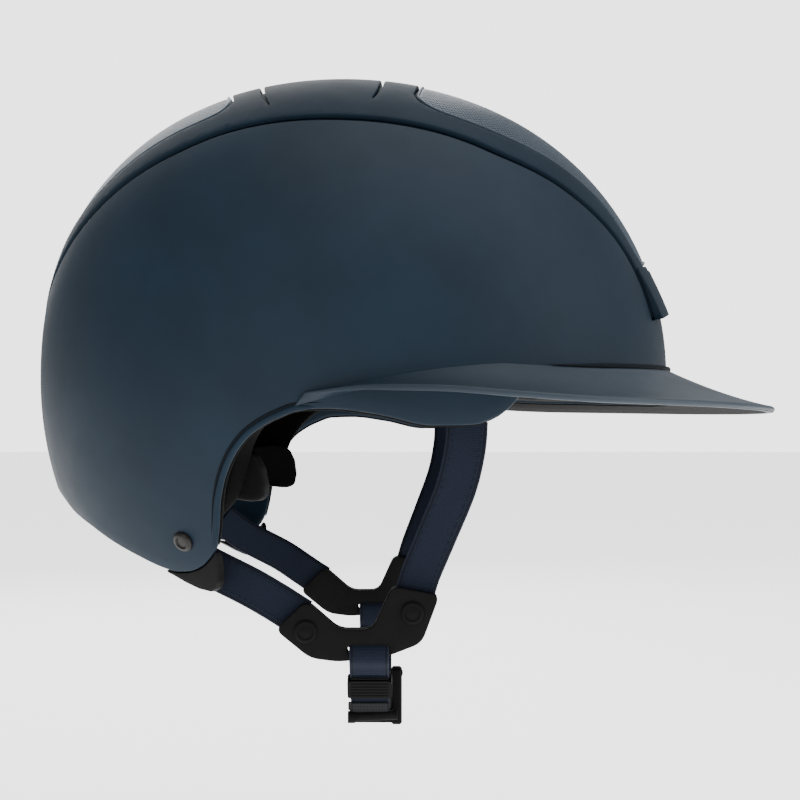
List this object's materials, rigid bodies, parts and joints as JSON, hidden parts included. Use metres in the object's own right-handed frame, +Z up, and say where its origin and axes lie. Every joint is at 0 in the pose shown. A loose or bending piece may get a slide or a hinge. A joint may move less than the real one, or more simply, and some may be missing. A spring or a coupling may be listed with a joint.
{
  "type": "equestrian riding helmet",
  "caption": "Riding helmet with a wide brim, a ventilated crown band, a foam liner with pads, a dial-adjusted nape cradle and a chin harness with a side-release buckle.",
  "frame": {"origin": "on the midplane, at the centre of the head cavity fore and aft, at the height of the wearer's brow", "axes": "+X forward out of the face opening, +Y to the wearer's left, +Z up through the crown"},
  "size_m": [0.3055, 0.236, 0.2618],
  "materials": {
    "shell_satin": "satin navy, fine smooth moulding",
    "band_matte": "matte navy",
    "grille_mesh": "fine perforated mesh, blue-grey",
    "underside_grey": "matte dark grey",
    "foam_black": "moulded foam, fine bead texture",
    "pad_fabric": "knitted wicking mesh over foam",
    "black_plastic": "fine spark-textured moulding",
    "stud_black": "satin black",
    "navy_webbing": "woven flat webbing",
    "steel": "plain"
  },
  "bodies": {
    "helmet": {"outer_shell": "shell_satin", "brim": "shell_satin", "ear_trim_right": "shell_satin", "ear_trim_left": "shell_satin", "crown_band": "band_matte", "front_badge": "band_matte", "front_grille": "grille_mesh", "rear_grille": "grille_mesh", "brim_underside": "underside_grey", "foam_liner": "foam_black", "brow_pad": "pad_fabric", "crown_pad": "pad_fabric", "crown_disc": "pad_fabric", "side_pad_right": "pad_fabric", "side_pad_left": "pad_fabric", "rear_pad_right": "pad_fabric", "rear_pad_left": "pad_fabric", "rear_anchor_right": "black_plastic", "rear_anchor_left": "black_plastic", "front_anchor_right": "black_plastic", "front_anchor_left": "black_plastic", "height_hanger": "black_plastic", "divider_outer_right": "black_plastic", "divider_outer_left": "black_plastic", "divider_inner_right": "black_plastic", "divider_inner_left": "black_plastic", "buckle_housing": "black_plastic", "buckle_lever": "black_plastic", "rear_rivet_right": "stud_black", "rear_rivet_left": "stud_black", "snap_rear_right": "stud_black", "snap_rear_left": "stud_black", "snap_front_right": "stud_black", "snap_front_left": "stud_black", "front_strap_right": "navy_webbing", "front_strap_left": "navy_webbing", "rear_strap_right": "navy_webbing", "rear_strap_left": "navy_webbing", "chin_strap_right": "navy_webbing", "chin_strap_left": "navy_webbing"},
    "cradle": {"cradle_housing": "black_plastic", "cradle_pad": "pad_fabric", "height_tab": "black_plastic"},
    "nape_dial": {"nape_dial": "black_plastic", "dial_shaft": "steel", "dial_pinion": "steel"},
    "wing_right": {"wing_right": "pad_fabric"},
    "wing_left": {"wing_left": "pad_fabric"},
    "buckle_tongue": {"buckle_tongue": "black_plastic"},
    "release_arm_front": {"release_arm_front": "black_plastic"},
    "release_arm_rear": {"release_arm_rear": "black_plastic"},
    "strap_slider": {"strap_slider": "black_plastic"}
  },
  "joints": [
    {"name": "cradle_height", "type": "slide", "parent": "helmet", "child": "cradle", "axis": [0, 0, 1], "range_m": [-0.004, 0.006]},
    {"name": "dial_turn", "type": "hinge", "parent": "cradle", "child": "nape_dial", "pos_m": [-0.0962, 0, -0.033], "axis": [-1, 0, 0], "range_deg": [0, 75]},
    {"name": "wing_right_slide", "type": "slide", "parent": "cradle", "child": "wing_right", "axis": [0, 1, 0], "range_m": [0, 0.008]},
    {"name": "wing_left_slide", "type": "slide", "parent": "cradle", "child": "wing_left", "axis": [0, -1, 0], "range_m": [0, 0.008]},
    {"name": "tongue_slide", "type": "slide", "parent": "helmet", "child": "buckle_tongue", "axis": [0, 1, 0], "range_m": [0, 0.021]},
    {"name": "arm_front_squeeze", "type": "hinge", "parent": "buckle_tongue", "child": "release_arm_front", "pos_m": [0.0155, -0.0063, -0.1225], "axis": [0, 0, -1], "range_deg": [0, 6], "stiffness_Nm_per_rad": 0.04},
    {"name": "arm_rear_squeeze", "type": "hinge", "parent": "buckle_tongue", "child": "release_arm_rear", "pos_m": [0.0035, -0.0063, -0.1225], "axis": [0, 0, 1], "range_deg": [0, 6], "stiffness_Nm_per_rad": 0.04},
    {"name": "slider_slide", "type": "slide", "parent": "helmet", "child": "strap_slider", "axis": [0, 0.53, -0.848], "range_m": [-0.003, 0.003]}
  ],
  "couplings": [
    {"joint": "wing_right_slide", "follows": "dial_turn", "m_per_rad": 0.006},
    {"joint": "wing_left_slide", "follows": "dial_turn", "m_per_rad": 0.006}
  ]
}
